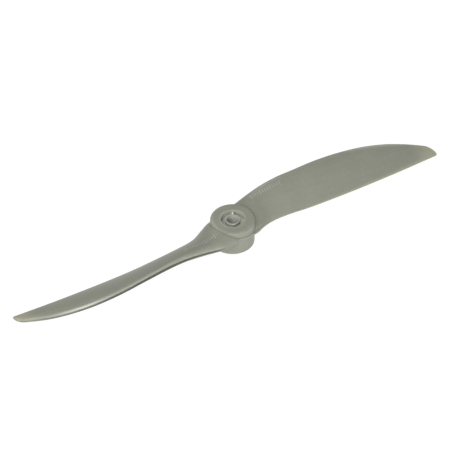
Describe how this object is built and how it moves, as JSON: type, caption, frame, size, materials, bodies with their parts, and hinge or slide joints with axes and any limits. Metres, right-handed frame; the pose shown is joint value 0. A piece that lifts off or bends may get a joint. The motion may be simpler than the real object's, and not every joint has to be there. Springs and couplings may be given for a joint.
{
  "type": "two-blade model aircraft propeller",
  "caption": "Fixed-pitch tractor propeller for a model aircraft, moulded in nylon, with a recessed hub and a push-in centring ring for the motor shaft.",
  "frame": {"origin": "turning axis of the hub at its rear face", "axes": "+Z forward out of the front face along the turning axis, +X along the first blade, whose leading edge is on the +Y side"},
  "size_m": [0.254, 0.0394, 0.0165],
  "materials": {
    "moulded_nylon": "satin, glass-filled",
    "ring_nylon": "satin"
  },
  "bodies": {
    "propeller": {"hub": "moulded_nylon", "blade_1": "moulded_nylon", "blade_2": "moulded_nylon"},
    "ring": {"centring_ring": "ring_nylon"}
  },
  "joints": [
    {"name": "ring_slide", "type": "slide", "parent": "propeller", "child": "ring", "axis": [0, 0, 1], "range_m": [0, 0.01]}
  ]
}
